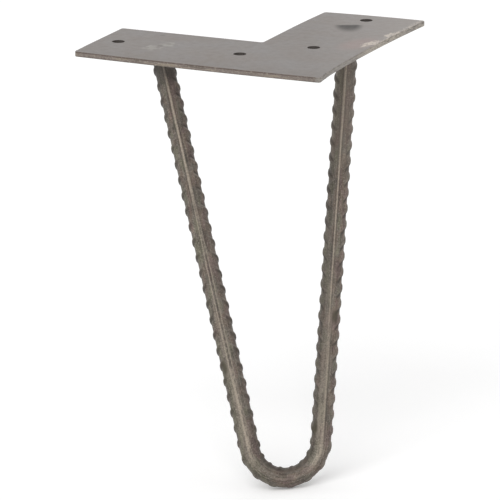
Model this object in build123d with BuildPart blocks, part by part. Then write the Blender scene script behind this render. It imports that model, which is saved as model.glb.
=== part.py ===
from build123d import *
import os
from math import acos, atan2, cos, degrees, hypot, pi, radians, sin, sqrt, tan

# Hairpin table leg: an L-shaped steel plate, screwed under a table top, with one ribbed
# reinforcing bar bent to a leaning hairpin and welded to the plate's underside.
# Millimetres. The origin is on the plate's top face, where the centrelines of the two arms cross.
# One arm runs along -X and the other along +Y, +Z is up, and the bar hangs below.

# Mounting plate
arm_length = 152.4  # outer edge of each arm of the L
arm_width = 63.5
plate_thickness = 3.0
corner_chamfer = 0.7
hole_diameter = 7.1
hole_end_margin = 12.7  # from an arm's end to its outer hole
hole_spacing = 76.2  # between the two holes of an arm

# Hairpin
leg_height = 254.0  # from the top face down to the underside of the bend
end_reach = 81.4  # from the crossing of the centrelines to each bar end
foot_inset = 2.9  # the foot stands this far inside the crossing, along both arms
bend_radius = 22.3  # at the bar's centreline
core_diameter = 11.4

# Crescent ribs, in one row on the outside of the hairpin and one on the inside
rib_height = 0.85
rib_pitch = 9.16
rib_crest = 1.7  # width of a rib's flat top
rib_flank = 40.0  # slope of a rib's sides, in degrees
rib_tilt = 40.0  # how far a rib slants from square across the bar, in degrees
rib_span = 36.0  # a rib reaches this far round the bar to each side, in degrees
outer_rib_start = 11.4  # first rib of the outer row, along the bar from the plate
inner_rib_start = 13.3
rib_end_margin = 14.0  # no rib is nearer than this to the bar's far end

# Lengthwise ribs, one on the front and one on the back
spine_width = 1.9
spine_height = 0.5
spine_flank = 65.0  # slope of its sides, in degrees
spine_lean = 24.0  # it leans out on the left leg and in on the right leg, in degrees

# Fillet welds
weld_leg = 4.0  # reach along the plate and along the bar
weld_toe = 0.3  # height of the bead's edge on the plate
weld_ripples = 10  # flats round a bead

# How ribs and welds are made
root_depth = 0.6  # reach into the core before they are joined to it or cut from it
rib_sink = 0.12  # depth of a rib's ends below the core's surface
rib_sections = 5  # profiles round the bar that shape a crescent rib
bend_sections = 13  # profiles that carry the core round the bend

# The plane of the hairpin
core_radius = core_diameter / 2
left_end = Vector(-end_reach, 0, -plate_thickness)
right_end = Vector(0, end_reach, -plate_thickness)
foot = Vector(-foot_inset, foot_inset, core_radius - leg_height)
top_middle = (left_end + right_end) * 0.5
across = (right_end - left_end).normalized()
upward = (top_middle - foot).normalized()
front = across.cross(upward)
bend_centre = foot + upward * bend_radius

# Each leg is the tangent from a bar end to the bend
half_span = (right_end - left_end).length / 2
rise = (top_middle - bend_centre).length
centre_distance = hypot(half_span, rise)
tangent_angle = atan2(rise, half_span) - acos(bend_radius / centre_distance)
leg_length = sqrt(centre_distance**2 - bend_radius**2)
bend_turn = pi + 2 * tangent_angle
bar_length = 2 * leg_length + bend_radius * bend_turn


def station(distance, lean=spine_lean):
    """Plane square across the bar, this far along it: Z along the bar, X to the outside, -Y to the front.
    It leans round the bar, one way on the left leg and the other way on the right leg."""
    turned = min(max((distance - leg_length) / bend_radius, 0), bend_turn)
    angle = pi - tangent_angle + turned
    outside = across * cos(angle) + upward * sin(angle)
    along = upward * cos(angle) - across * sin(angle)
    twist = radians(lean) * (1 - 2 * turned / bend_turn)
    run = distance - leg_length - bend_radius * turned
    return Plane(
        origin=bend_centre + outside * bend_radius + along * run,
        x_dir=outside * cos(twist) - front * sin(twist),
        z_dir=along,
    )


def crescent_rib(place, row):
    """A rib at this distance along the bar, in the outer row (1) or the inner row (-1). It winds
    round the bar like a piece of thread, highest at its middle and sunk into the core at its ends."""
    slant = radians(rib_tilt)
    crest_half = rib_crest / 2 / cos(slant)
    root = core_radius - root_depth
    with BuildPart() as rib:
        for index in range(rib_sections):
            share = 2 * index / (rib_sections - 1) - 1
            angle = radians(rib_span) * share
            square = station(place + row * core_radius * angle * tan(slant))
            radial = (square.x_dir * cos(angle) + square.y_dir * sin(angle)) * row
            crest = core_radius + rib_height * (1 - share**2) - rib_sink * share**2
            root_half = crest_half + (crest - root) / tan(radians(rib_flank)) / cos(slant)
            with BuildSketch(Plane(square.origin, x_dir=radial, z_dir=radial.cross(square.z_dir))):
                with BuildLine():
                    Polyline(
                        (root, -root_half),
                        (crest, -crest_half),
                        (crest, crest_half),
                        (root, root_half),
                        close=True,
                    )
                make_face()
        loft(ruled=True)
    return rib.part


def rib_row(start, row):
    """All the ribs of one row."""
    count = int((bar_length - rib_end_margin - start) / rib_pitch) + 1
    return [crescent_rib(start + index * rib_pitch, row) for index in range(count)]


# Mounting plate
with BuildPart() as mounting_plate:
    with BuildSketch():
        with Locations((arm_width / 2, 0)):
            Rectangle(arm_length, arm_width, align=(Align.MAX, Align.CENTER))
        with Locations((0, -arm_width / 2)):
            Rectangle(arm_width, arm_length, align=(Align.CENTER, Align.MIN))
    extrude(amount=-plate_thickness)
    chamfer(mounting_plate.edges().filter_by(Axis.Z), corner_chamfer)
    outer_hole = arm_length - arm_width / 2 - hole_end_margin
    inner_hole = outer_hole - hole_spacing
    with Locations((-outer_hole, 0), (-inner_hole, 0), (0, inner_hole), (0, outer_hole)):
        Hole(hole_diameter / 2)
mounting_plate.part.label = "mounting_plate"

# Ribbed bar: the core runs past the plate's underside at both ends and is cut off there
overrun = core_diameter
leg_starts = (-overrun, bar_length - leg_length)
bend_stations = [leg_length + bend_radius * bend_turn * i / (bend_sections - 1) for i in range(bend_sections)]
outer_ribs = rib_row(outer_rib_start, 1)
inner_ribs = rib_row(inner_rib_start, -1)
with BuildPart() as hairpin_bar:
    for leg_start in leg_starts:
        with BuildSketch(station(leg_start)):
            Circle(core_radius)
        extrude(amount=leg_length + overrun)
    for distance in bend_stations:
        with BuildSketch(station(distance, lean=0)):
            Circle(core_radius)
    loft()
    for leg_start in leg_starts:
        with BuildSketch(station(leg_start)):
            for side in (-1, 1):
                with Locations((0, side * (core_radius - root_depth))):
                    Trapezoid(
                        spine_width,
                        spine_height + root_depth,
                        spine_flank,
                        rotation=90 - 90 * side,
                        align=(Align.CENTER, Align.MIN),
                    )
        extrude(amount=leg_length + overrun)
    add(outer_ribs + inner_ribs)
    split(bisect_by=Plane.XY.offset(-plate_thickness), keep=Keep.BOTTOM)
hairpin_bar.part.label = "hairpin_bar"


def fillet_weld(end, along):
    """Fillet weld round a bar end: a rippled bead that slopes from the plate to the bar, cut to fit the bar."""
    slope = weld_leg + root_depth
    middle = end - along * (slope / 2 / along.Z)
    with BuildPart() as weld:
        with BuildSketch(Plane((middle.X, middle.Y, end.Z), z_dir=(0, 0, -1))):
            RegularPolygon(core_radius + weld_leg, weld_ripples)
        extrude(amount=weld_toe + slope)
        chamfer(weld.faces().sort_by(Axis.Z)[0].edges(), slope)
        add(hairpin_bar.part, mode=Mode.SUBTRACT)
    return weld.part


left_weld = fillet_weld(left_end, station(0).z_dir)
left_weld.label = "left_weld"
right_weld = fillet_weld(right_end, station(bar_length).z_dir)
right_weld.label = "right_weld"

os.makedirs("parts", exist_ok=True)
export_step(mounting_plate.part, "parts/mounting_plate.step")
export_step(hairpin_bar.part, "parts/hairpin_bar.step")
export_step(left_weld, "parts/left_weld.step")
export_step(right_weld, "parts/right_weld.step")
print(f"bar length {bar_length:.1f} mm, leg {leg_length:.1f} mm, bend {degrees(bend_turn):.1f} degrees")
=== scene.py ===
# %% [markdown]
# # A hairpin table leg of ribbed bar
#
# The real leg is three jobs of work: an L-shaped plate cut from hot-rolled sheet, one length of ribbed
# reinforcing bar bent to a leaning U, and two welds that join them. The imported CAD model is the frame
# that everything here is fitted to, so it is loaded first and is never moved.

# %% Load the frame
from math import acos, atan2, cos, hypot, pi, radians, sin, sqrt, tan

import bmesh
import bpy
from mathutils import Matrix, Vector


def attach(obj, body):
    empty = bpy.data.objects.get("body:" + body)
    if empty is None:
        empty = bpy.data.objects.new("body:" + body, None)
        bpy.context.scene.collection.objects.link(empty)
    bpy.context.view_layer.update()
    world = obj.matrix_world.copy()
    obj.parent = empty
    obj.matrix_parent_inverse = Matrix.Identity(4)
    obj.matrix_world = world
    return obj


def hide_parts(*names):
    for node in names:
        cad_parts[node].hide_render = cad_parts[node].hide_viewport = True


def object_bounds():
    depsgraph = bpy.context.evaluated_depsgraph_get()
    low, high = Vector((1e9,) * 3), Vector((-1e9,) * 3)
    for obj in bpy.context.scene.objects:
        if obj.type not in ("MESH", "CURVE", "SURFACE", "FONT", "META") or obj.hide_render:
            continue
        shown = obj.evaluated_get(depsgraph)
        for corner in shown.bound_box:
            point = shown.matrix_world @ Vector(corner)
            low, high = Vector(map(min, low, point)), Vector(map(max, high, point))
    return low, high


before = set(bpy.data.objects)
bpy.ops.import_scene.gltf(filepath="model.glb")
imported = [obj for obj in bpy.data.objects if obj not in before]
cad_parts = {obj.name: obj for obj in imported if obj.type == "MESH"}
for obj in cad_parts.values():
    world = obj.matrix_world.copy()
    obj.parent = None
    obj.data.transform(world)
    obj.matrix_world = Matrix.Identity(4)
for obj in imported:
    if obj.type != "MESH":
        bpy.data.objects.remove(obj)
cad_box = [list(corner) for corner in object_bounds()]
MM = 0.001
print("CAD nodes:", sorted(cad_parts), "box", cad_box)

# %% [markdown]
# ## A few small helpers
#
# Colours are easiest to read as the hex values of a paint chart, but the renderer works with linear light,
# so one function converts them. Another adds a node to any tree: its positional values feed the sockets that
# are open, in order, and a value that is a node or an output is linked. The words in capitals are the
# kinds of node that come up most, some of them with a setting.

# %% Colour and node helpers
def linear(hex_colour):
    """An sRGB hex colour as linear red, green, blue and alpha."""
    parts = [int(hex_colour[i : i + 2], 16) / 255 for i in (0, 2, 4)]
    return tuple(p / 12.92 if p <= 0.04045 else ((p + 0.055) / 1.055) ** 2.4 for p in parts) + (1.0,)


def feed(tree, node, values):
    """Sets or links sockets of a node, given by name or number. A node stands for its first open output."""
    for key, value in values.items():
        if isinstance(value, bpy.types.Node):
            value = next(output for output in value.outputs if output.enabled)
        if isinstance(value, bpy.types.NodeSocket):
            tree.links.new(value, node.inputs[key])
        elif value is not None:
            node.inputs[key].default_value = value


def add(tree, kind, *feeds, sockets=None, **settings):
    """One new node: feeds go to its open sockets in order, sockets by name, settings to its properties."""
    node_type, preset = kind if isinstance(kind, tuple) else (kind, {})
    made = tree.nodes.new(node_type)
    for name, value in {**preset, **settings}.items():
        setattr(made, name, value)
    open_sockets = [number for number, socket in enumerate(made.inputs) if socket.enabled]
    feed(tree, made, {**dict(zip(open_sockets, feeds)), **(sockets or {})})
    return made


print("plate grey as linear light:", [round(v, 3) for v in linear("928C88")[:3]])

# %% Words for kinds of node
MATH = "ShaderNodeMath"
PLUS = (MATH, {"operation": "ADD"})
MINUS = (MATH, {"operation": "SUBTRACT"})
TIMES = (MATH, {"operation": "MULTIPLY"})
OVER = (MATH, {"operation": "DIVIDE"})
TIMES_PLUS = (MATH, {"operation": "MULTIPLY_ADD"})
LESSER = (MATH, {"operation": "MINIMUM"})
GREATER = (MATH, {"operation": "MAXIMUM"})
SIZE = (MATH, {"operation": "ABSOLUTE"})
VECTOR = "ShaderNodeVectorMath"
DOT = (VECTOR, {"operation": "DOT_PRODUCT"})
DISTANCE = (VECTOR, {"operation": "DISTANCE"})
LENGTH = (VECTOR, {"operation": "LENGTH"})
RANGE = "ShaderNodeMapRange"  # value, then what it runs from and to, then what that becomes
SMOOTH = (RANGE, {"interpolation_type": "SMOOTHSTEP"})
BLEND = ("ShaderNodeMix", {"data_type": "RGBA"})  # share, colour below, colour on top
BETWEEN = ("ShaderNodeMix", {"data_type": "FLOAT"})
NOISE = "ShaderNodeTexNoise"  # place, scale, detail, roughness
MAPPING = "ShaderNodeMapping"
RAMP = "ShaderNodeValToRGB"
BUMP = "ShaderNodeBump"
MARK = "ShaderNodeAttribute"
SPLIT = "ShaderNodeSeparateXYZ"
JOIN = "ShaderNodeCombineXYZ"
POSITION = "GeometryNodeInputPosition"
STORE = "GeometryNodeStoreNamedAttribute"
print("a smooth range is", SMOOTH)

# %% [markdown]
# ## The line of the bar
#
# A bender makes the hairpin in one pull round a former, so its line is two straight legs that are tangent
# to one arc. The sizes are those of the CAD model. From them come the plane of the hairpin, which leans,
# and the tangent points. A Bezier curve carries that line: an arc of about a quarter turn is a single
# Bezier piece to within a few microns.

# %% Sizes and the hairpin's plane
plate_thickness = 3.0 * MM
core_radius = 5.7 * MM
bend_radius = 22.3 * MM
leg_height = 254.0 * MM
end_reach = 81.4 * MM  # from the crossing of the arms' centrelines to each bar end
foot_inset = 2.9 * MM  # the foot stands this far inside the crossing, along both arms
left_end = Vector((-end_reach, 0, -plate_thickness))
right_end = Vector((0, end_reach, -plate_thickness))
foot = Vector((-foot_inset, foot_inset, core_radius - leg_height))

top_middle = (left_end + right_end) / 2
across = (right_end - left_end).normalized()
upward = (top_middle - foot).normalized()
front = across.cross(upward)
bend_centre = foot + upward * bend_radius
half_span = (right_end - left_end).length / 2
rise = (top_middle - bend_centre).length
tangent_angle = atan2(rise, half_span) - acos(bend_radius / hypot(half_span, rise))
leg_length = sqrt(half_span**2 + rise**2 - bend_radius**2)
bend_length = bend_radius * (pi + 2 * tangent_angle)
bar_length = 2 * leg_length + bend_length
print(f"leg {leg_length / MM:.1f} mm, bend {bend_length / MM:.1f} mm, bar {bar_length / MM:.1f} mm")

# %% Bezier curves and arcs
def bezier_curve(name, knots, resolution, closed=False):
    """A Bezier curve through knots: point, direction, and lengths of the handles before and after it."""
    data = bpy.data.curves.new(name, "CURVE")
    data.dimensions = "3D"
    data.resolution_u = resolution
    spline = data.splines.new("BEZIER")
    spline.use_cyclic_u = closed
    spline.bezier_points.add(len(knots) - 1)
    for point, (place, way, before, after) in zip(spline.bezier_points, knots):
        point.handle_left_type = point.handle_right_type = "FREE"
        point.co = place
        point.handle_left = place - way * before
        point.handle_right = place + way * after
    return data


def arc_handle(turn, radius):
    """Length of the handles with which one Bezier piece draws an arc."""
    return 4 / 3 * tan(turn / 4) * radius


def on_bend(angle):
    """A point of the bend and the bar's way there; half a turn is the left side, three quarters the foot."""
    place = bend_centre + (across * cos(angle) + upward * sin(angle)) * bend_radius
    return place, upward * cos(angle) - across * sin(angle)


print("foot of the bend, in mm:", [round(v / MM, 2) for v in on_bend(1.5 * pi)[0]])

# %% The bar's path
overrun = 2.0 * MM  # the path starts this far above the plate's underside, and is cut off there later
left_tangent, left_way = on_bend(pi - tangent_angle)
bottom, bottom_way = on_bend(1.5 * pi)
right_tangent, right_way = on_bend(2 * pi + tangent_angle)
bend_handle = arc_handle(pi / 2 + tangent_angle, bend_radius)
leg_handle = leg_length / 3
bar_knots = [
    (left_end - left_way * overrun, left_way, leg_handle, leg_handle),
    (left_tangent, left_way, leg_handle, bend_handle),
    (bottom, bottom_way, bend_handle, bend_handle),
    (right_tangent, right_way, bend_handle, leg_handle),
    (right_end + right_way * overrun, right_way, leg_handle, leg_handle),
]
bar_path = bezier_curve("bar_path", bar_knots, resolution=64)
print("path length", round(bar_path.splines[0].calc_length() / MM, 2), "mm")

# %% [markdown]
# ## Finish: hot-rolled ribbed bar
#
# Ribbed bar leaves the mill with a brown-grey oxide skin, and in a damp store it takes a thin bloom of rust.
# To the eye it is a matte brown-grey with streaks that run along the bar. The darker tones in and on the
# ribs are painted shade. The pale tan on the lengthwise rib, which is what hands and other bars touch, is
# partly rubbed metal and partly a painted highlight, and so is a broad pale band low on the legs. The
# pattern follows the bar round its bend, so it reads "bar_place", an attribute that holds the bar's own
# straightened
# coordinates: millimetres along it, then two across it. The other marks are attributes too, which the bar's
# own tree works out further down.

# %% Start the bar's material
def new_material(name):
    """A new material, its tree and its shader."""
    material = bpy.data.materials.new(name)
    material.use_nodes = True
    return material, material.node_tree, material.node_tree.nodes["Principled BSDF"]


def set_stops(ramp, stops):
    """Gives a colour ramp its stops: the place of each, and its hex colour or its level of grey."""
    elements = ramp.color_ramp.elements
    elements.remove(elements[1])
    for place, tone in stops:
        element = elements[0] if place == stops[0][0] else elements.new(place)
        element.position = place
        element.color = linear(tone) if isinstance(tone, str) else (tone, tone, tone, 1)


bar_steel, tree, shader = new_material("hot_rolled_ribbed_bar")
place = add(tree, MARK, attribute_name="bar_place").outputs["Vector"]
mark_names = ("rib", "spine", "under_rib", "polish_and_highlight", "brow", "weather")
marks = {name: add(tree, MARK, attribute_name=name).outputs["Fac"] for name in mark_names}
print("the bar's material reads bar_place,", ", ".join(marks))

# %% Oxide skin of the bar
# Streaks from rolling: about 0.7 mm wide and 30 times as long
along_bar = add(tree, MAPPING, place, sockets={"Scale": (1 / 30, 1, 1)})
streaks = add(tree, NOISE, along_bar, 1 / 0.7, 3.0, 0.65)
# Patches of thicker and thinner oxide, about 5 mm across and drawn out lengthwise
patch_place = add(tree, MAPPING, place, sockets={"Scale": (0.5, 1, 1), "Location": (7, 3, 11)})
patches = add(tree, NOISE, patch_place, 1 / 5, 4.0, 0.65)
# Specks of rust, about 1 mm across
specks = add(tree, NOISE, place, 1 / 0.9, 3.0, 0.75)
skin = add(tree, RAMP, patches)
set_stops(skin, ((0.36, "504A44"), (0.5, "6A635C"), (0.66, "7E776E")))
# Some stretches lean to olive, others to rust or to a purple brown
hue_place = add(tree, MAPPING, place, sockets={"Scale": (0.4, 1, 1), "Location": (31, 5, 2)})
hues = add(tree, NOISE, hue_place, 1 / 5, 2.0)
hue = add(tree, RAMP, add(tree, TIMES_PLUS, marks["weather"], 0.08, hues))
set_stops(hue, ((0.38, "F0F8E4"), (0.47, "F7F6F6"), (0.58, "FFF0E4"), (0.64, "FFE8EE")))
hued = add(tree, BLEND, 1.0, skin, hue, blend_type="MULTIPLY")
print("oxide skin:", len(tree.nodes), "nodes")

# %% Shares of polish, streaks, specks, ribs and rubbed places
# A pale band low on the legs: painted highlight, partly metal polished by handling
polish_and_highlight_strength = add(tree, RANGE, patches, 0.3, 0.6, 0.15, 0.65)
polish_and_highlight_share = add(tree, TIMES, marks["polish_and_highlight"], polish_and_highlight_strength)
furrow_share = add(tree, RANGE, streaks, 0.47, 0.34, 0.0, 0.55)
streak_share = add(tree, RANGE, streaks, 0.5, 0.68, 0.0, 0.6)
speck_share = add(tree, RANGE, specks, 0.52, 0.63, 0.0, 0.6)
glint_share = add(tree, RANGE, specks, 0.45, 0.35, 0.0, 0.6)
# The ribs are painted darker: painted shade on them
rib_share = add(tree, TIMES, marks["rib"], 0.25)
# Painted shade under and beside the ribs, and the darker throat, broken up by specks
under_rib_speckle = add(tree, RANGE, specks, 0.42, 0.58, 1.0, 0.65)
under_share = add(tree, TIMES, marks["under_rib"], under_rib_speckle)
# Pale brows on the ribs: painted highlight, partly worn crests
brow_strength = add(tree, RANGE, patches, 0.35, 0.6, 0.5, 0.95)
brow_share = add(tree, TIMES, marks["brow"], brow_strength)
# The lengthwise ribs: rubbed metal, partly painted highlight
rub_and_highlight_strength = add(tree, RANGE, specks, 0.38, 0.62, 1.0, 0.55)
rub_and_highlight_share = add(tree, TIMES, marks["spine"], rub_and_highlight_strength)
print("with its wear:", len(tree.nodes), "nodes")

# %% Shares of heat, handling, damp and stains
def chain(tree, kind, first, *others):
    """Several values joined by nodes of one kind, such as their product or the least of them."""
    for value in others:
        first = add(tree, kind, first, value)
    return first


own = add(tree, SPLIT, place).outputs
# The ends are greyed and darkened for about 15 mm: partly the welds' heat, partly painted shade under the
# plate
to_far_end = add(tree, MINUS, bar_length / MM, own["X"])
to_end = add(tree, LESSER, own["X"], to_far_end)
heat_and_shade_edge = add(tree, RANGE, patches, 0.3, 0.7, -7.0, 7.0)
heat_and_shade_share = add(tree, SMOOTH, add(tree, PLUS, to_end, heat_and_shade_edge), 26.0, 8.0, 0.0, 0.65)
# The right leg is paler near the plate: painted light where the plate's shadow falls
right_light_share = add(tree, SMOOTH, to_far_end, 90.0, 50.0, 0.0, 0.2)
# The inner side of the hairpin is a little darker
inner_most = add(tree, RAMP, add(tree, OVER, to_far_end, bar_length / MM))
set_stops(inner_most, ((0.08, 0.1), (0.2, 0.3), (0.34, 0.3), (0.43, 0.0), (0.56, 0.15)))
inner_share = add(tree, SMOOTH, own["Y"], 2.0, -3.0, 0.0, inner_most)
# Three dark stains, each about 4 mm across and twice as long
stain_offs = []
for stain in ((185.6, 3.8, -4.2), (370.4, 3.4, -4.6), (305.2, -4.2, -3.8)):
    off_stain = add(tree, VECTOR, place, stain, operation="SUBTRACT")
    stain_spot = add(tree, VECTOR, off_stain, (0.5, 1.0, 1.0), operation="MULTIPLY")
    stain_offs.append(add(tree, LENGTH, stain_spot))
stain_ragged = add(tree, RANGE, specks, 0.3, 0.7, -0.8, 0.8)
stain_edge = add(tree, PLUS, chain(tree, LESSER, *stain_offs), stain_ragged)
stain_share = add(tree, RANGE, stain_edge, 2.7, 1.2, 0.0, 0.8)
print("with its stains:", len(tree.nodes), "nodes")

# %% Colour, sheen and pits of the bar
def paint(tree, base, layers):
    """Mixes colours over a base, one after the other. Each layer is its share and its hex colour."""
    for share, colour in layers:
        base = add(tree, BLEND, share, base, linear(colour))
    return base


# Some layers are painted light: shade on and under the ribs and partly at the ends, light on the right leg,
# and highlights that are partly real polish, brows and rubbing
bar_layers = (
    (polish_and_highlight_share, "8F8679"), (furrow_share, "4B443D"), (streak_share, "8A8074"), (speck_share, "3E3831"),
    (glint_share, "9C9286"), (rib_share, "423E38"), (under_share, "2B2420"), (brow_share, "ACA398"),
    (rub_and_highlight_share, "AFA394"), (heat_and_shade_share, "423E3B"), (right_light_share, "9C9185"), (inner_share, "433D38"),
    (stain_share, "433E30"),
)
bar_colour = paint(tree, hued, bar_layers)
bar_sheen = add(tree, RANGE, patches, 0.3, 0.7, 0.46, 0.66)
# Pits of the oxide skin, drawn about twice as coarse as they are so that they show
pits = add(tree, NOISE, place, 1 / 0.55, 3.0)
pitted = add(tree, BUMP, sockets={"Strength": 0.35, "Distance": 0.15 * MM, "Height": pits})
feed(tree, shader, {"Base Color": bar_colour, "Roughness": bar_sheen, "Metallic": 0.35, "Normal": pitted})
print("made", bar_steel.name, "with", len(bar_layers), "layers")

# %% [markdown]
# ## The ribbed bar
#
# The ribs are rolled in: two rows of crescents, slanting across the outside and the inside of the hairpin,
# and two low lengthwise ribs where the halves of the roll met. They could be copies of one small mesh, but
# rolled steel flows into them without an edge, so here the whole bar is one swept skin and a Geometry Nodes
# field lifts it. For every point the field finds how far along and how far round the bar it lies, then how
# far it is from the middle of the nearest rib.

# %% Inputs of the ribbed bar's tree
def new_tree(name, inputs, result):
    """A Geometry Nodes tree with these named inputs, and the outputs of its input node."""
    tree = bpy.data.node_groups.new(name, "GeometryNodeTree")
    tree.is_modifier = True
    for input_name, (kind, _) in inputs.items():
        tree.interface.new_socket(input_name, in_out="INPUT", socket_type="NodeSocket" + kind)
    tree.interface.new_socket(result, in_out="OUTPUT", socket_type="NodeSocketGeometry")
    return tree, tree.nodes.new("NodeGroupInput").outputs


bar_inputs = {  # name: kind of socket and value
    "Path": ("Geometry", None),
    "Ring Step": ("Float", 0.6 * MM),
    "Ring Points": ("Int", 96),
    "Core Radius": ("Float", core_radius),
    "Rib Height": ("Float", 0.85 * MM),
    "Rib Pitch": ("Float", 9.16 * MM),
    "Rib Crest": ("Float", 0.9 * MM),
    "Rib Foot": ("Float", 2.9 * MM),
    "Rib Slant": ("Float", tan(radians(40))),
    "Rib Reach": ("Float", radians(60)),
    "Outer Start": ("Float", 11.4 * MM),
    "Inner Start": ("Float", 13.3 * MM),
    "Last Rib": ("Float", 55.0),
    "Spine Height": ("Float", 0.5 * MM),
    "Spine Top": ("Float", 0.45 * MM),
    "Spine Foot": ("Float", 1.7 * MM),
    "Row Lean": ("Float", radians(22)),
    "Leg Length": ("Float", leg_length),
    "Bend Length": ("Float", bend_length),
    "Overrun": ("Float", overrun),
    "Front": ("Vector", front),
    "Left Highlight Side": ("Vector", (0.185, -0.955, 0.23)),
    "Right Highlight Side": ("Vector", (0.31, -0.92, 0.24)),
    "Weather Side": ("Vector", (0.91, 0.41, 0.0)),
    "Plate Underside": ("Float", -plate_thickness),
    "Seed": ("Int", 4),
    "Material": ("Material", bar_steel),
}
rib_tree, given = new_tree("ribbed_bar", bar_inputs, "Bar")
print("inputs:", ", ".join(bar_inputs))

# %% Sweep the core and remember where each point lies
rings = add(rib_tree, "GeometryNodeResampleCurve", given["Path"], None, given["Ring Step"], mode="LENGTH")
path_length = add(rib_tree, "GeometryNodeSplineParameter").outputs["Length"]
ring_marks = {  # name: type and value
    "along": ("FLOAT", add(rib_tree, MINUS, path_length, given["Overrun"])),
    "centre": ("FLOAT_VECTOR", add(rib_tree, POSITION)),
    "way": ("FLOAT_VECTOR", add(rib_tree, "GeometryNodeInputTangent")),
}
for name, (data_type, value) in ring_marks.items():
    rings = add(rib_tree, STORE, rings, None, name, value, data_type=data_type)
ring = add(rib_tree, "GeometryNodeCurvePrimitiveCircle", given["Ring Points"], given["Core Radius"])
core = add(rib_tree, "GeometryNodeCurveToMesh", rings, ring, sockets={"Fill Caps": True})
print("each ring keeps", ", ".join(ring_marks))

# %% How far along and how far round
along, centre, way = (
    add(rib_tree, "GeometryNodeInputNamedAttribute", name, data_type=data_type)
    for name, (data_type, _) in ring_marks.items()
)
arm = add(rib_tree, VECTOR, add(rib_tree, POSITION), centre, operation="SUBTRACT")
radial = add(rib_tree, VECTOR, arm, operation="NORMALIZE")
outward = add(rib_tree, VECTOR, way, given["Front"], operation="CROSS_PRODUCT")
to_outside = add(rib_tree, DOT, radial, outward)
to_front = add(rib_tree, DOT, radial, given["Front"])
to_back = add(rib_tree, TIMES, to_front, -1.0)
bare_angle = add(rib_tree, MATH, to_back, to_outside, operation="ARCTAN2")
past_leg = add(rib_tree, MINUS, along, given["Leg Length"])
bend_share = add(rib_tree, OVER, past_leg, given["Bend Length"], use_clamp=True)
swing = add(rib_tree, RANGE, bend_share, 0.0, 1.0, 1.0, -1.0)  # 1 on the left leg and -1 on the right leg
lean = add(rib_tree, TIMES, swing, given["Row Lean"])
angle = add(rib_tree, MINUS, bare_angle, lean)
angle_cos = add(rib_tree, MATH, angle, operation="COSINE")
angle_sin = add(rib_tree, MATH, angle, operation="SINE")
row = add(rib_tree, MATH, angle_cos, operation="SIGN")  # 1 in the outer row and -1 in the inner row
row_angle = add(rib_tree, MATH, add(rib_tree, TIMES, row, angle_sin), operation="ARCSINE")
print("place on the bar:", len(rib_tree.nodes), "nodes")

# %% Distance to the nearest crescent rib
start = add(rib_tree, RANGE, row, -1.0, 1.0, given["Inner Start"], given["Outer Start"])
slanted = chain(rib_tree, TIMES, row_angle, given["Core Radius"], given["Rib Slant"], row)
from_start = add(rib_tree, MINUS, along, start)
unslanted = add(rib_tree, MINUS, from_start, slanted)
count_here = add(rib_tree, OVER, unslanted, given["Rib Pitch"])
nearest = add(rib_tree, MATH, count_here, operation="ROUND")
not_before = add(rib_tree, GREATER, nearest, 0.0)
number = add(rib_tree, LESSER, not_before, given["Last Rib"])
rib_middle = add(rib_tree, TIMES, number, given["Rib Pitch"])
off_middle = add(rib_tree, MINUS, unslanted, rib_middle)
slant_angle = add(rib_tree, MATH, given["Rib Slant"], operation="ARCTANGENT")
slant_cos = add(rib_tree, MATH, slant_angle, operation="COSINE")
twice_off = chain(rib_tree, TIMES, add(rib_tree, SIZE, off_middle), slant_cos, 2.0)
print("with the nearest rib:", len(rib_tree.nodes), "nodes")

# %% Height of the ribs, each a little different, and lower where the former pressed them at the foot
rib_side = add(rib_tree, SMOOTH, twice_off, given["Rib Foot"], given["Rib Crest"], 0.0, 1.0)
reach_share = add(rib_tree, OVER, row_angle, given["Rib Reach"])
reach_square = add(rib_tree, MATH, reach_share, 2.0, operation="POWER")
crescent = add(rib_tree, MINUS, 1.0, reach_square, use_clamp=True)
rounded = add(rib_tree, MATH, crescent, 0.75, operation="POWER")
rib_mask = add(rib_tree, TIMES, rib_side, rounded)
rib_key = add(rib_tree, TIMES, number, row)
wear = add(rib_tree, "FunctionNodeRandomValue", 0.82, 1.0, rib_key, given["Seed"], data_type="FLOAT")
from_foot = add(rib_tree, SIZE, add(rib_tree, MINUS, bend_share, 0.5))  # as a share of the bend
foot_keep = add(rib_tree, SMOOTH, from_foot, 0.1, 0.5, 0.6, 1.0)
rib_lift = chain(rib_tree, TIMES, given["Rib Height"], wear, foot_keep, rib_mask)
print("with its height:", len(rib_tree.nodes), "nodes")

# %% Painted shade under the ribs, and pale brows on them: painted highlight on partly worn crests
half_bend = add(rib_tree, TIMES, given["Bend Length"], 0.5)
above_foot = add(rib_tree, SIZE, add(rib_tree, MINUS, past_leg, half_bend))  # along the bar, up either leg
# Both fade towards the foot, over a longer stretch on the left leg
mark_full = add(rib_tree, RANGE, swing, -1.0, 1.0, 75 * MM, 180 * MM)
mark_keep = add(rib_tree, RANGE, above_foot, 35 * MM, mark_full, 0.25, 1.0)
downhill = add(rib_tree, TIMES, off_middle, swing)
# High on the legs, the inner row has its painted shade on the other side of the ribs
inner_groove = add(rib_tree, RANGE, above_foot, 110 * MM, 190 * MM, 1.3 * MM, -1.8 * MM)
groove_place = add(rib_tree, RANGE, row, -1.0, 1.0, inner_groove, 1.3 * MM)
from_groove = add(rib_tree, SIZE, add(rib_tree, MINUS, downhill, groove_place))
groove = add(rib_tree, SMOOTH, from_groove, 1.7 * MM, 0.5 * MM, 0.0, 1.0)
left_high = add(rib_tree, RANGE, along, 150 * MM, 90 * MM, 1.0, 0.45)
groove_row = add(rib_tree, RANGE, row, -1.0, 1.0, 1.0, left_high)
near_middle = add(rib_tree, TIMES, crescent, 1.8, use_clamp=True)
# Painted shade in the groove beside each rib
under_rib = chain(rib_tree, TIMES, groove, near_middle, mark_keep, groove_row)
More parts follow.
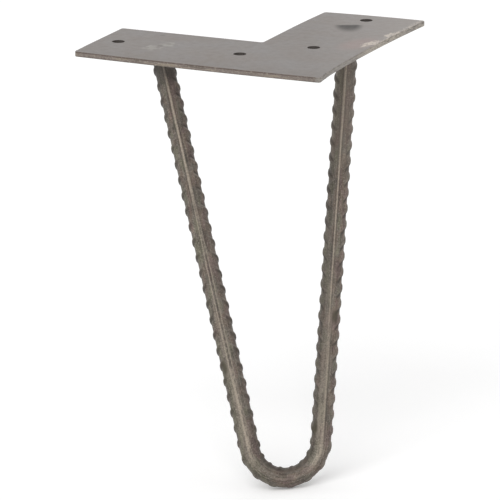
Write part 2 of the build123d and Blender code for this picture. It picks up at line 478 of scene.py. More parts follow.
# Painted highlight along the brow of each rib, partly a worn crest
from_brow = add(rib_tree, SIZE, add(rib_tree, PLUS, downhill, 0.7 * MM))
brow_line = add(rib_tree, SMOOTH, from_brow, 0.9 * MM, 0.2 * MM, 0.0, 1.0)
brow_leg = add(rib_tree, RANGE, swing, -1.0, 1.0, 0.35, 1.0)
brow_row = add(rib_tree, RANGE, row, -1.0, 1.0, brow_leg, 0.3)
brow = chain(rib_tree, TIMES, brow_line, rounded, mark_keep, brow_row)
print("with grooves and brows:", len(rib_tree.nodes), "nodes")

# %% The lengthwise ribs, which fade out round the foot
row_size = add(rib_tree, SIZE, row_angle)
short_of_spine = add(rib_tree, MINUS, pi / 2, row_size)
# They are wide low on the left leg and round the bend, and narrow on the right leg
left_scale = add(rib_tree, RANGE, along, 60 * MM, 130 * MM, 1.0, 0.55)
past_bend = add(rib_tree, MINUS, past_leg, given["Bend Length"])
right_low = add(rib_tree, RANGE, past_bend, -5 * MM, 30 * MM, 0.55, 1.3)
right_high = add(rib_tree, RANGE, past_bend, 140 * MM, 190 * MM, 1.3, 1.0)
right_scale = add(rib_tree, LESSER, right_low, right_high)
narrow = add(rib_tree, GREATER, left_scale, right_scale)
spine_scaled = chain(rib_tree, TIMES, short_of_spine, given["Core Radius"], 2.0, narrow)
spine_side = add(rib_tree, SMOOTH, spine_scaled, given["Spine Foot"], given["Spine Top"], 0.0, 1.0)
spine_keep = add(rib_tree, SMOOTH, from_foot, 0.2, 0.5, 0.1, 1.0)
spine_lift = chain(rib_tree, TIMES, spine_side, spine_keep, given["Spine Height"])
print("with lengthwise ribs:", len(rib_tree.nodes), "nodes")

# %% The bar's own straightened coordinates, in millimetres
place_along = add(rib_tree, TIMES, along, 1 / MM)
place_out = add(rib_tree, TIMES, angle_cos, core_radius / MM)
place_side = add(rib_tree, TIMES, angle_sin, core_radius / MM)
bar_place = add(rib_tree, JOIN, place_along, place_out, place_side)
print("with its own coordinates:", len(rib_tree.nodes), "nodes")

# %% A dotted seam along the middle of the lengthwise ribs, where they are wide
wide = add(rib_tree, RANGE, narrow, 0.55, 1.0, 1.0, 0.0)
dots = add(rib_tree, NOISE, bar_place, 1 / 1.8, 1.0)
dotted = add(rib_tree, RANGE, dots, 0.4, 0.54, 0.2, 1.0)
seam_drift = add(rib_tree, RANGE, along, 160 * MM, 190 * MM, 0.05, 0.5)
seam_off = add(rib_tree, SIZE, add(rib_tree, PLUS, place_out, seam_drift))
seam_middle = add(rib_tree, RANGE, seam_off, 0.5, 0.2, 0.0, 0.9)
seam_keep = add(rib_tree, RANGE, along, 180 * MM, 205 * MM, 1.0, 0.8)
seam_line = chain(rib_tree, TIMES, seam_middle, dotted, seam_keep)
seam_shown = add(rib_tree, TIMES, seam_line, wide)
beside_seam = add(rib_tree, MINUS, 1.0, seam_shown)
print("with the seam:", len(rib_tree.nodes), "nodes")

# %% Where the lengthwise ribs are rubbed and painted with a highlight: along their top, or along both shoulders where they are wide
short_of_top = add(rib_tree, MINUS, 1.0, spine_side)
shoulders = chain(rib_tree, TIMES, spine_side, short_of_top, 3.0)
two_lines = add(rib_tree, RANGE, along, 180 * MM, 205 * MM, 1.0, 0.25)
seam_wide = add(rib_tree, TIMES, wide, two_lines)
top_line = add(rib_tree, BETWEEN, seam_wide, spine_side, shoulders)
# Low on the right leg only the outer shoulder is rubbed and painted with a highlight, and the painted shade
# line lies beside it
above_bend = add(rib_tree, RANGE, past_bend, -5 * MM, 10 * MM, 0.0, 1.0)
below_middle = add(rib_tree, RANGE, past_bend, 85 * MM, 45 * MM, 0.0, 1.0)
low_right = add(rib_tree, LESSER, above_bend, below_middle)
shoulder_off = add(rib_tree, SIZE, add(rib_tree, MINUS, place_out, 0.85))
shoulder_line = add(rib_tree, RANGE, shoulder_off, 0.6, 0.2, 0.0, 1.0)
spine_line = add(rib_tree, BETWEEN, low_right, top_line, shoulder_line)
# The rubbing and its painted highlight are weaker on the right leg and nearly gone round the foot
right_rub_and_highlight_low = add(rib_tree, RANGE, past_bend, -10 * MM, 15 * MM, 1.0, 0.6)
right_rub_and_highlight_high = add(rib_tree, RANGE, past_bend, 60 * MM, 185 * MM, 0.6, 1.0)
right_rub_and_highlight = add(rib_tree, GREATER, right_rub_and_highlight_low, right_rub_and_highlight_high)
leg_rub_and_highlight = add(rib_tree, RANGE, swing, -1.0, 1.0, right_rub_and_highlight, 1.0)
left_rub_and_highlight_end = add(rib_tree, RANGE, bend_share, 0.0, 0.14, 1.0, 0.15)
right_rub_and_highlight_start = add(rib_tree, RANGE, bend_share, 0.62, 0.85, 0.15, 1.0)
rub_and_highlight_keep = add(rib_tree, GREATER, left_rub_and_highlight_end, right_rub_and_highlight_start)
spine_rub_and_highlight = chain(rib_tree, TIMES, spine_line, rub_and_highlight_keep, leg_rub_and_highlight, beside_seam)
print("with rubbed lines:", len(rib_tree.nodes), "nodes")

# %% Painted shade lines beside the lengthwise ribs, the dotted seam where they are wide, and a darker throat at the foot of the bend
groove_off = add(rib_tree, SIZE, add(rib_tree, MINUS, spine_scaled, 2.3 * MM))
inner_right = add(rib_tree, RANGE, past_bend, 60 * MM, 120 * MM, 0.15, 0.6)
inner_line = add(rib_tree, RANGE, swing, -1.0, 1.0, inner_right, 0.6)
line_most = add(rib_tree, RANGE, row, -1.0, 1.0, inner_line, 0.6)
# Painted shade in a line beside each lengthwise rib
groove_line = add(rib_tree, RANGE, groove_off, 0.8 * MM, 0.2 * MM, 0.0, line_most)
left_dark = add(rib_tree, BETWEEN, wide, groove_line, seam_line)
# Low on the right leg, painted shade in a line beside the shoulder's painted highlight
edge_off = add(rib_tree, SIZE, add(rib_tree, MINUS, place_out, 1.75))
edge_line = add(rib_tree, RANGE, edge_off, 0.7, 0.2, 0.0, 0.6)
dark_line = add(rib_tree, BETWEEN, low_right, left_dark, edge_line)
dark_lines = add(rib_tree, TIMES, dark_line, spine_keep)
throat_side = add(rib_tree, SMOOTH, angle_cos, -0.3, -0.85, 0.0, 1.0)
in_bend = add(rib_tree, SMOOTH, from_foot, 0.55, 0.3, 0.0, 0.65)
throat = add(rib_tree, TIMES, throat_side, in_bend)
# All the painted shade of the ribs, together with the darker throat
painted_shade_and_throat = chain(rib_tree, GREATER, under_rib, dark_lines, throat)
print("with dark lines:", len(rib_tree.nodes), "nodes")

# %% A pale band low on the legs, on the side that faces the front: painted highlight, partly metal polished by hands and stacking
weather = add(rib_tree, DOT, radial, given["Weather Side"])
facing_left = add(rib_tree, DOT, radial, given["Left Highlight Side"])
facing_right = add(rib_tree, DOT, radial, given["Right Highlight Side"])
facing = add(rib_tree, BETWEEN, bend_share, facing_left, facing_right)
highlight_facing = add(rib_tree, SMOOTH, facing, 0.76, 0.98, 0.0, 1.0)
low_down = add(rib_tree, SMOOTH, above_foot, 170 * MM, 60 * MM, 0.0, 1.0)
off_bottom = add(rib_tree, SMOOTH, above_foot, 12 * MM, 40 * MM, 0.45, 1.0)
polish_and_highlight = chain(rib_tree, TIMES, highlight_facing, low_down, off_bottom)
print("with polish:", len(rib_tree.nodes), "nodes")

# %% Store the marks, lift the skin and finish the tree
def cut_and_dress(tree, skin, given):
    """Cuts a skin flat at the plate's underside, gives it its material and hands it to the tree's output."""
    spot = add(tree, SPLIT, add(tree, POSITION)).outputs
    below_plate = add(tree, LESSER, spot["Z"], given["Plate Underside"])
    cut_spot = add(tree, JOIN, spot["X"], spot["Y"], below_plate)
    cut = add(tree, "GeometryNodeSetPosition", skin, sockets={"Position": cut_spot})
    smooth = add(tree, "GeometryNodeSetShadeSmooth", cut)
    real = add(tree, "GeometryNodeRealizeInstances", smooth)
    dressed = add(tree, "GeometryNodeSetMaterial", real, sockets={"Material": given["Material"]})
    add(tree, "NodeGroupOutput", dressed)


marked = add(rib_tree, STORE, core, None, "bar_place", bar_place, data_type="FLOAT_VECTOR")
bar_marks = {
    "rib": rib_mask, "spine": spine_rub_and_highlight, "under_rib": painted_shade_and_throat,
    "polish_and_highlight": polish_and_highlight, "brow": brow, "weather": weather,
}
for name, value in bar_marks.items():
    marked = add(rib_tree, STORE, marked, None, name, value, data_type="FLOAT")
lift = add(rib_tree, GREATER, rib_lift, spine_lift)
offset = add(rib_tree, VECTOR, radial, lift, operation="SCALE")
lifted = add(rib_tree, "GeometryNodeSetPosition", marked, sockets={"Offset": offset})
for name in ring_marks:
    lifted = add(rib_tree, "GeometryNodeRemoveAttribute", lifted, name)
cut_and_dress(rib_tree, lifted, given)
print("ribbed bar tree has", len(rib_tree.nodes), "nodes")

# %% Run the tree and keep its result as a plain mesh
def put(name, data):
    """A new object in the scene."""
    made = bpy.data.objects.new(name, data)
    bpy.context.scene.collection.objects.link(made)
    return made


def grow(name, host_data, tree, inputs):
    """Runs a Geometry Nodes tree on its host, and returns the result as a plain mesh object of that name."""
    host = put(name + "_host", host_data)
    modifier = host.modifiers.new("grow", "NODES")
    modifier.node_group = tree
    for socket in tree.interface.items_tree:
        if socket.in_out == "INPUT" and inputs[socket.name][1] is not None:
            modifier[socket.identifier] = inputs[socket.name][1]
    evaluated = host.evaluated_get(bpy.context.evaluated_depsgraph_get())
    mesh = bpy.data.meshes.new_from_object(evaluated)
    host.modifiers.remove(modifier)
    bpy.data.objects.remove(host)
    mesh.name = name
    return put(name, mesh)


bar = grow("ribbed_hairpin", bar_path, rib_tree, bar_inputs)
solid = bmesh.new()
solid.from_mesh(bar.data)
print(f"bar: {len(bar.data.polygons)} faces, {solid.calc_volume(signed=True) / MM**3:.0f} cubic mm")
solid.free()
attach(bar, "root")
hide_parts("hairpin_bar")

# %% [markdown]
# ## Finish: hot-rolled plate
#
# The plate is bare hot-rolled sheet. Its mill scale is a thin grey oxide, matte and a little mottled, and
# painted light makes it paler to the right. The welds below left their marks on top: a pale scuffed patch
# over one bar end and, over the other, a dark half-moon that is a scorch with the painted shade of a shallow
# dent. One long edge has been scraped to bright, pinkish metal. The cut edges are browner than the faces,
# with a painted shade line along their top, and the hole walls are painted dark as shade.

# %% Places on the plate, in millimetres and degrees
def in_ellipse(tree, spot, x, y, half_width, half_length, turn):
    """The spot as seen from the middle of a turned ellipse, measured in its half axes."""
    axes = (half_width * MM, half_length * MM, 1)
    return add(tree, MAPPING, spot, (x * MM, y * MM, 0), (0, 0, radians(turn)), axes, vector_type="TEXTURE")


def off_nearest(tree, spot, points):
    """Distance from the nearest of several points of the plate's top."""
    return chain(tree, LESSER, *[add(tree, DISTANCE, spot, (x * MM, y * MM, 0)) for x, y in points])


plate_steel, tree, shader = new_material("hot_rolled_plate")
spot = add(tree, "ShaderNodeTexCoord").outputs["Object"]
xyz = add(tree, SPLIT, spot).outputs
side_mask, hole_shade_mask, depth = (
    add(tree, MARK, attribute_name=name).outputs["Fac"] for name in ("side", "hole", "depth")
)
print("plate material starts with", len(tree.nodes), "nodes")

# %% Mill scale of the plate
# Clouds of scale about 30 mm across, a mottle of 4 mm and a grit of 0.7 mm; painted light makes it paler to
# the right
clouds = add(tree, NOISE, spot, 1 / (30 * MM), 4.0, 0.6)
mottle = add(tree, NOISE, spot, 1 / (4 * MM), 4.0, 0.65)
grit = add(tree, NOISE, spot, 1 / (0.7 * MM), 2.0)
cloud_share = add(tree, RANGE, clouds, 0.35, 0.65, 0.0, 1.0)
clouded = add(tree, BLEND, cloud_share, linear("827B76"), linear("868280"))
mottle_share = add(tree, RANGE, mottle, 0.45, 0.75, 0.0, 0.2)
to_right = add(tree, DOT, spot, (0.912, 0.41, 0))
right_light_share = add(tree, RANGE, to_right, 10 * MM, 80 * MM, 0.0, 0.8)
sheet = paint(tree, clouded, ((mottle_share, "7B7470"), (right_light_share, "9B9591")))
print("mill scale:", len(tree.nodes), "nodes")

# %% Marks that the welds left on top, one with the painted shade of a dent
pale_off = off_nearest(tree, spot, ((-84.2, -6.3), (-78.5, 4.5)))
pale_ragged = add(tree, RANGE, mottle, 0.3, 0.7, -3 * MM, 3 * MM)
pale_edge = add(tree, PLUS, pale_off, pale_ragged)
pale_share = add(tree, SMOOTH, pale_edge, 6.2 * MM, 2 * MM, 0.0, 0.8)
speck_off = off_nearest(tree, spot, ((-81.5, -0.4), (-78.8, 5.8), (-91.2, 24.2)))
speck_share = add(tree, SMOOTH, speck_off, 2.4 * MM, 0.8 * MM, 0.0, 0.4)
# The dark one is half a disc that ends in a straight side: a scorch with the painted shade of a shallow
# dent, darkest at its straight far side
dark_spot = in_ellipse(tree, spot, -3.9, 91.2, 8.5, 18.0, 24.2)
dark_ragged = add(tree, RANGE, mottle, 0.3, 0.7, -0.06, 0.06)
dark_border = add(tree, PLUS, add(tree, LENGTH, dark_spot), dark_ragged)
dark_disc = add(tree, SMOOTH, dark_border, 1.15, 0.45, 0.0, 1.0)
dark_level = add(tree, PLUS, add(tree, SPLIT, dark_spot).outputs["Y"], dark_ragged)
dark_side = add(tree, RANGE, dark_level, 0.12, 0.0, 0.0, 1.0)
dark_fade = add(tree, RANGE, dark_level, -1.0, -0.15, 0.6, 1.0)
dark_share = chain(tree, TIMES, dark_disc, dark_side, dark_fade)
weld_marked = paint(tree, sheet, ((pale_share, "98948E"), (speck_share, "57524E"), (dark_share, "3C3835")))
print("with weld marks:", len(tree.nodes), "nodes")

# %% The scraped long edge
blush_off = add(tree, LENGTH, in_ellipse(tree, spot, 20.0, 50.0, 12.0, 24.0, -9.0))
blush_share = add(tree, SMOOTH, blush_off, 1.0, 0.3, 0.0, 0.75)
scrapes = ((26.0, 54.0, 5.6, 17.0, -11.0), (28.0, 80.0, 4.2, 13.0, -12.0))
scrape_offs = [add(tree, LENGTH, in_ellipse(tree, spot, *scrape)) for scrape in scrapes]
scrape_off = chain(tree, LESSER, *scrape_offs)
scrape_zone = add(tree, SMOOTH, scrape_off, 1.15, 0.35, 0.0, 1.0)
# Fragments about 2 mm wide and twice as long, and chips of the same size along the edge
scrape_place = add(tree, MAPPING, spot, sockets={"Scale": (1.0, 0.5, 1.0)})
fragments = add(tree, NOISE, scrape_place, 1 / (1.7 * MM), 4.0, 0.8)
scrape_level = add(tree, TIMES_PLUS, scrape_zone, 0.4, fragments)
scrape_share = add(tree, RANGE, scrape_level, 0.8, 0.92, 0.0, 0.95)
chips = add(tree, NOISE, scrape_place, 1 / (1.6 * MM), 3.0, 0.7)
chip_edge = add(tree, RANGE, xyz["X"], 23.5 * MM, 29 * MM, 0.0, 1.0)
chip_run = add(tree, SMOOTH, xyz["Y"], 20 * MM, 70 * MM, 0.0, 1.0)
chip_level = chain(tree, TIMES, chip_edge, chip_run, chips)
chip_share = add(tree, RANGE, chip_level, 0.46, 0.55, 0.0, 0.85)
scrape_layers = ((blush_share, "968783"), (scrape_share, "C8BEB3"), (chip_share, "BDB5AB"))
plate_top = paint(tree, weld_marked, scrape_layers)
print("with scrapes:", len(tree.nodes), "nodes")

# %% Cut edges: long stains, a painted shade line along their top, a dark torn lower rim, and flecks
edge_place = add(tree, MAPPING, spot, sockets={"Scale": (0.14, 0.14, 1.0)})
stains = add(tree, NOISE, edge_place, 1 / (1.8 * MM), 3.0, 0.6)
fleck_place = add(tree, MAPPING, spot, sockets={"Scale": (0.5, 0.2, 1.0)})
flecks = add(tree, NOISE, fleck_place, 1 / (0.8 * MM), 3.0, 0.7)
edge_skin = add(tree, RAMP, stains)
set_stops(edge_skin, ((0.34, "665D55"), (0.5, "7B716B"), (0.68, "8C8172")))
# The scraped long edge has its own paler tone, and less of the dark
long_most = 0.8  # share of its own tone
long_edge = add(tree, RANGE, xyz["X"], 28.5 * MM, 29.4 * MM, 0.0, long_most)
bright_from = add(tree, RANGE, xyz["Y"], 20 * MM, 42 * MM, 0.0, 1.0)
bright_to = add(tree, RANGE, xyz["Y"], 100 * MM, 76 * MM, 0.3, 1.0)
bright_share = add(tree, TIMES, bright_from, bright_to)
long_tone = add(tree, BLEND, bright_share, linear("8D8882"), linear("AEA69A"))
edge_tone = add(tree, BLEND, long_edge, edge_skin, long_tone)
# A painted shade line along the top of each cut edge
top_shade_level = add(tree, RANGE, stains, 0.3, 0.7, 0.1 * MM, 0.5 * MM)
top_shade_off = add(tree, SIZE, add(tree, MINUS, depth, top_shade_level))
top_shade_most = add(tree, RANGE, long_edge, 0.0, long_most, 0.8, 0.25)
top_shade_share = add(tree, RANGE, top_shade_off, 0.6 * MM, 0.25 * MM, 0.0, top_shade_most)
low_most = add(tree, RANGE, long_edge, 0.0, long_most, 0.7, 0.3)
low_share = add(tree, RANGE, depth, 2.3 * MM, 2.8 * MM, 0.0, low_most)
scraped_edge = add(tree, TIMES, long_edge, chip_run)
spot_most = add(tree, RANGE, scraped_edge, 0.0, long_most, 0.35, 0.6)
spot_share = add(tree, RANGE, flecks, 0.47, 0.38, 0.0, spot_most)
fleck_most = add(tree, RANGE, scraped_edge, 0.0, long_most, 0.35, 0.95)
fleck_share = add(tree, RANGE, flecks, 0.53, 0.63, 0.0, fleck_most)
edge_layers = ((top_shade_share, "53463F"), (low_share, "4A443D"), (spot_share, "4F4842"), (fleck_share, "B0A89C"))
plate_edge = paint(tree, edge_tone, edge_layers)
print("with cut edges:", len(tree.nodes), "nodes")

# %% Colour, sheen and grit of the plate
edged = add(tree, BLEND, side_mask, plate_top, plate_edge)
# The hole walls are painted dark: painted shade inside the holes
plate_colour = paint(tree, edged, [(hole_shade_mask, "3B3633")])
plate_sheen = add(tree, RANGE, mottle, 0.3, 0.7, 0.5, 0.62)
gritty = add(tree, BUMP, sockets={"Strength": 0.07, "Distance": 0.05 * MM, "Height": grit})
feed(tree, shader, {"Base Color": plate_colour, "Roughness": plate_sheen, "Metallic": 0.3, "Normal": gritty})
print("made", plate_steel.name, "with", len(tree.nodes), "nodes")

# %% [markdown]
# ## The mounting plate
#
# The plate is sheared from sheet, so its outline is sharp, but no cut edge stays truly sharp: a bevel of a
# third of a millimetre catches a thin line of light. The outline and the holes are filled in one go, then
# pulled down to thickness and bevelled. A used plate isn't quite flat or straight either: one long edge is
# worn hollow, and the front edge and the far back corner hang a little.

# %% Outline and holes
arm_end = 120.65 * MM  # from the crossing of the centrelines, as are the holes
half_arm = 31.75 * MM
outer_hole, inner_hole = 107.95 * MM, 31.75 * MM
hole_radius = 3.55 * MM
hole_steps = 56
corner_radius = 1.6 * MM
corner_steps = 9
hollow = 2.1 * MM  # the scraped long edge is worn hollow by this much at its middle
hollow_steps = 30
corners = [
    (-arm_end, -half_arm), (half_arm, -half_arm), (half_arm, arm_end),
    (-half_arm, arm_end), (-half_arm, half_arm), (-arm_end, half_arm),
]
holes = [Vector(place) for place in ((-outer_hole, 0), (-inner_hole, 0), (0, inner_hole), (0, outer_hole))]


def rounded_outline(points):
    """The same closed outline with each square corner turned into a small arc."""
    outline = []
    for index, corner in enumerate(points):
        here = Vector(corner)
        before, after = Vector(points[index - 1]), Vector(points[(index + 1) % len(points)])
        to_before, to_after = (before - here).normalized(), (after - here).normalized()
        middle = here + (to_before + to_after) * corner_radius
        for step in range(corner_steps + 1):
            turn = pi / 2 * step / corner_steps
            outline.append(middle - (to_after * cos(turn) + to_before * sin(turn)) * corner_radius)
    return outline


outline = rounded_outline(corners)
worn = []
for step in range(1, hollow_steps):
    share = step / hollow_steps
    worn_off = hollow * 4 * share * (1 - share)
    worn.append(Vector((half_arm - worn_off, share * (arm_end + half_arm) - half_arm)))
after_corner = len(outline) // 3  # the worn edge runs from the second corner to the third
loops = [outline[:after_corner] + worn + outline[after_corner:]]
turns = [2 * pi * step / hole_steps for step in range(hole_steps)]
for hole in holes:
    loops.append([hole + Vector((cos(turn), sin(turn))) * hole_radius for turn in turns])
print("outline of", len(loops[0]), "points and", len(holes), "holes")

# %% Fill, cut, thicken and bevel the sheet
bevel_width = 0.32 * MM
bevel_segments = 3
rim_angle = 0.9  # only edges that turn by more than this, in radians, are bevelled
cuts_across = (-115, -100, -90, -80, -70, -60, -50, -40, -24, -16, -8, 8, 16, 25)
cuts_along = (-30, -26, -22, -18, -14, -10, 65, 75, 85, 98, 116)
plate_mesh = bmesh.new()
for loop in loops:
    loop_verts = [plate_mesh.verts.new((point.x, point.y, 0)) for point in loop]
    for first, second in zip(loop_verts, loop_verts[1:] + loop_verts[:1]):
        plate_mesh.edges.new((first, second))
bmesh.ops.triangle_fill(plate_mesh, use_beauty=True, use_dissolve=False, edges=plate_mesh.edges[:])
# Cuts through the sheet, given in millimetres and clear of the holes, give the sag points to move
cuts = [((x * MM, 0, 0), (1, 0, 0)) for x in cuts_across] + [((0, y * MM, 0), (0, 1, 0)) for y in cuts_along]
for place, square in cuts:
    everything = plate_mesh.verts[:] + plate_mesh.edges[:] + plate_mesh.faces[:]
    bmesh.ops.bisect_plane(plate_mesh, geom=everything, plane_co=place, plane_no=square)
pulled = bmesh.ops.extrude_face_region(plate_mesh, geom=plate_mesh.faces[:])
pulled_verts = [item for item in pulled["geom"] if isinstance(item, bmesh.types.BMVert)]
bmesh.ops.translate(plate_mesh, verts=pulled_verts, vec=(0, 0, -plate_thickness))
bmesh.ops.recalc_face_normals(plate_mesh, faces=plate_mesh.faces[:])
rim = [edge for edge in plate_mesh.edges if edge.calc_face_angle(0) > rim_angle]
bmesh.ops.bevel(
    plate_mesh, geom=rim, offset=bevel_width, segments=bevel_segments, profile=0.5, affect="EDGES"
)
print("plate:", len(plate_mesh.faces), "faces,", round(plate_mesh.calc_volume() / MM**3), "cubic mm")

# %% Let the sheet sag
front_sag = 1.0 * MM  # the front edge hangs this low at its lowest place
sag_line = 8 * MM  # it hangs from a line this far in front of the centreline
sag_middle, sag_reach = -15 * MM, 125 * MM  # its lowest place along X, and how far it hangs to each side
corner_sag, corner_reach = 0.75 * MM, 55 * MM  # how low the far back corner hangs, and over what distance


def sag(x, y):
    """How far the sheet hangs below true at this place."""
    front_share = min(max((-sag_line - y) / (half_arm - sag_line), 0), 1) ** 2
    along_front = 1 - ((x - sag_middle) / sag_reach) ** 2
    to_corner = hypot(x + half_arm, y - arm_end) / corner_reach
    return front_sag * front_share * along_front + corner_sag * max(1 - to_corner, 0) ** 2


depths = plate_mesh.verts.layers.float.new("depth")
for vert in plate_mesh.verts:
    vert[depths] = -vert.co.z
    vert.co.z -= sag(vert.co.x, vert.co.y)
plate_data = bpy.data.meshes.new("mounting_plate_skin")
plate_mesh.to_mesh(plate_data)
plate_mesh.free()
print("the front edge hangs", round(sag(sag_middle, -half_arm) / MM, 2), "mm")

# %% Mark the cut edges and the hole walls, which are painted dark as shade, and put the plate in its place
wall_margin = 0.25 * MM  # a face this near a hole is part of its wall
wall_slope = 0.8  # if its normal rises by less than this
# The hole walls carry painted shade
wall_shade_share = 0.9  # share of the dark tone on the walls
side_gain = 3  # how soon a face that turns away from the top counts as a cut edge
sharp_angle = radians(12)
side_shares = plate_data.attributes.new("side", "FLOAT", "FACE")
hole_shade_shares = plate_data.attributes.new("hole", "FLOAT", "FACE")
for face in plate_data.polygons:
    in_hole = min((face.center.to_2d() - hole).length for hole in holes) < hole_radius + wall_margin
    is_wall = in_hole and abs(face.normal.z) < wall_slope
    side_shares.data[face.index].value = min((1 - abs(face.normal.z)) * side_gain, 1)
    hole_shade_shares.data[face.index].value = wall_shade_share if is_wall else 0.0
plate_data.shade_smooth()
plate_data.set_sharp_from_angle(angle=sharp_angle)
plate_data.materials.append(plate_steel)
plate = put("mounting_plate_skin", plate_data)
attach(plate, "root")
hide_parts("mounting_plate")
print("plate spans", [round(v / MM, 2) for v in plate.dimensions])

# %% [markdown]
# ## The welds
#
# Each bar end is welded all round under the plate. A hand-laid bead is a row of overlapping puddles, so the
# bead here is a thick ring whose radius swells and shrinks, cut flat where it meets the plate. The metal is
# darker than the sheet and carries the straw and blue of the heat.

# %% Material of the welds
weld_steel, tree, shader = new_material("weld_bead")
spot = add(tree, "ShaderNodeTexCoord").outputs["Object"]
tint = add(tree, RAMP, add(tree, NOISE, spot, 1 / (3 * MM), 3.0))
set_stops(tint, ((0.35, "4B4A4D"), (0.52, "615C58"), (0.68, "7A6C5C")))
grain = add(tree, NOISE, spot, 1 / (0.6 * MM), 2.0)
grainy = add(tree, BUMP, sockets={"Strength": 0.25, "Distance": 0.1 * MM, "Height": grain})
feed(tree, shader, {"Base Color": tint, "Roughness": 0.42, "Metallic": 0.6, "Normal": grainy})
print("made", weld_steel.name)

# %% A tree that lays a bead along a ring
bead_inputs = {  # name: kind of socket and value
    "Ring": ("Geometry", None),
    "Ring Points": ("Int", 170),
    "Section Points": ("Int", 18),
    "Bead Radius": ("Float", 2.7 * MM),
    "Puddles": ("Float", 17.0),
    "Valley": ("Float", 0.9),  # share of the radius between two puddles
    "Swell": ("Float", 0.14),
    "Unevenness": ("Float", 0.2),
    "Plate Underside": ("Float", -plate_thickness),
    "Material": ("Material", weld_steel),
}
bead_tree, given = new_tree("weld_bead", bead_inputs, "Bead")
steps = add(bead_tree, "GeometryNodeResampleCurve", given["Ring"], None, given["Ring Points"], mode="COUNT")
share = add(bead_tree, "GeometryNodeSplineParameter").outputs["Factor"]
phase = add(bead_tree, TIMES, share, given["Puddles"])
puddle = add(bead_tree, TIMES, add(bead_tree, MATH, phase, operation="FRACT"), pi)
arch = add(bead_tree, MATH, puddle, operation="SINE")
rough = add(bead_tree, NOISE, add(bead_tree, POSITION), 1 / (7 * MM), 1.0)
rough_share = add(bead_tree, MINUS, rough, 0.5)
rough_swell = add(bead_tree, TIMES, rough_share, given["Unevenness"])
swell = add(bead_tree, TIMES_PLUS, arch, given["Swell"], rough_swell)
thickness = add(bead_tree, PLUS, swell, given["Valley"])
section = add(bead_tree, "GeometryNodeCurvePrimitiveCircle", given["Section Points"], given["Bead Radius"])
laid = add(bead_tree, "GeometryNodeCurveToMesh", steps, section, thickness)
cut_and_dress(bead_tree, laid, given)
print("weld bead tree has", len(bead_tree.nodes), "nodes")

# %% Lay both beads
bead_reach = core_radius + 1.3 * MM  # from the bar's centreline to the middle of the bead
bead_depth = 1.2 * MM  # the bead's middle lies this far under the plate
quarter_handle = arc_handle(pi / 2, bead_reach)
for side, end, way in (("left", left_end, left_way), ("right", right_end, -right_way)):
    middle = end + way * (bead_depth / -way.z)
    ring_knots = []
    for turn in (0, pi / 2, pi, 1.5 * pi):
        outward = Vector((cos(turn), sin(turn), 0))
        sideways = Vector((-sin(turn), cos(turn), 0))
        ring_knots.append((middle + outward * bead_reach, sideways, quarter_handle, quarter_handle))
    ring_path = bezier_curve(side + "_bead_ring", ring_knots, resolution=24, closed=True)
    bead = grow(side + "_weld_bead", ring_path, bead_tree, bead_inputs)
    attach(bead, "root")
    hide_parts(side + "_weld")
    print(bead.name, len(bead.data.polygons), "faces")

# %% [markdown]
# ## Camera
#
# The camera was fitted to the photograph: the plate's corners, the holes and both edges of the bar give its
# direction, and the photograph's nearly parallel lines call for a very long lens.

# %% Camera at the photograph's place
azimuth, elevation, roll = radians(24.232), radians(15.117), radians(-0.028)
shift_right, shift_up, shift_back = -23.27 * MM, -107.75 * MM, 3387.6 * MM  # along the camera's own axes
photo_pixels = 500
focal_pixels = 6000
sensor_width = 36  # millimetres
back = Vector((sin(azimuth) * cos(elevation), -cos(azimuth) * cos(elevation), sin(elevation)))
right = Vector((cos(azimuth), sin(azimuth), 0))
up = back.cross(right)
camera_spot = right * shift_right + up * shift_up + back * shift_back
camera_axes = Matrix((right, up, back)).transposed().to_4x4()
camera_data = bpy.data.cameras.new("camera")
camera_data.sensor_width = sensor_width
camera_data.lens = sensor_width * focal_pixels / photo_pixels
camera_data.clip_end = 100  # metres
camera = put("camera", camera_data)
camera.matrix_world = Matrix.Translation(camera_spot) @ camera_axes @ Matrix.Rotation(roll, 4, "Z")
bpy.context.scene.camera = camera
bpy.context.scene.view_settings.view_transform = "Standard"
print("camera at", [round(v, 3) for v in camera_spot])

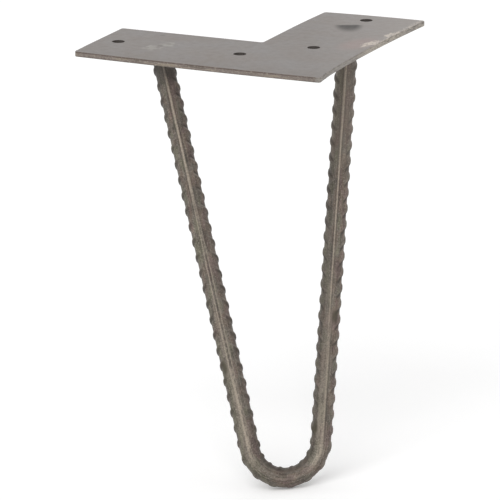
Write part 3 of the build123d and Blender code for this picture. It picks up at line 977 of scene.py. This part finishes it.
# %% [markdown]
# ## Floor and light
#
# The photograph is a catalogue picture: even light from all round, a little more from the left, and white
# everywhere else. A white floor under an even white sky and one broad sun gives that, and the floor
# keeps a soft shadow where the foot stands. Floor and sky look whiter than the light that they give.

# %% Floor
def seen_directly(tree):
    """1 for rays from the camera, also by a mirror or through glass, and 0 for rays that gather light."""
    rays = add(tree, "ShaderNodeLightPath").outputs
    return chain(tree, GREATER, rays["Is Camera Ray"], rays["Is Glossy Ray"], rays["Is Transmission Ray"])


WHITE = (1, 1, 1, 1)
floor_half = 9  # metres
floor_glow = 0.13  # makes the lit floor white to the eye
floor_z = cad_box[0][2]
floor_paper, tree, shader = new_material("white_paper_floor")
feed(tree, shader, {"Base Color": linear("FDFDFD"), "Roughness": 0.9, "Specular IOR Level": 0.0})
glow = add(tree, TIMES, seen_directly(tree), floor_glow)
feed(tree, shader, {"Emission Color": WHITE, "Emission Strength": glow})
floor_data = bpy.data.meshes.new("floor")
floor_corners = [(x * floor_half, y * floor_half, floor_z) for x, y in ((-1, -1), (1, -1), (1, 1), (-1, 1))]
floor_data.from_pydata(floor_corners, [], [(0, 1, 2, 3)])
floor_data.materials.append(floor_paper)
floor = put("floor", floor_data)
print("floor at", round(floor_z / MM, 2), "mm")

# %% Sky and sun
sky_light, sky_seen = 0.68, 1.0
sun_energy, sun_width = 1.28, radians(40)
world = bpy.data.worlds.new("studio")
bpy.context.scene.world = world
world.use_nodes = True
tree = world.node_tree
strength = add(tree, RANGE, seen_directly(tree), 0.0, 1.0, sky_light, sky_seen)
feed(tree, tree.nodes["Background"], {"Color": WHITE, "Strength": strength})
sun_data = bpy.data.lights.new("soft_sun", "SUN")
sun_data.energy = sun_energy
sun_data.angle = sun_width
sun = put("soft_sun", sun_data)
sun_from = back * 0.75 - right * 0.25 + Vector((0, 0, 0.5))  # from the camera's side, the left and above
sun.matrix_world = sun_from.to_track_quat("Z", "Y").to_matrix().to_4x4()
print("sky of", sky_light, "and sun of", sun_energy)
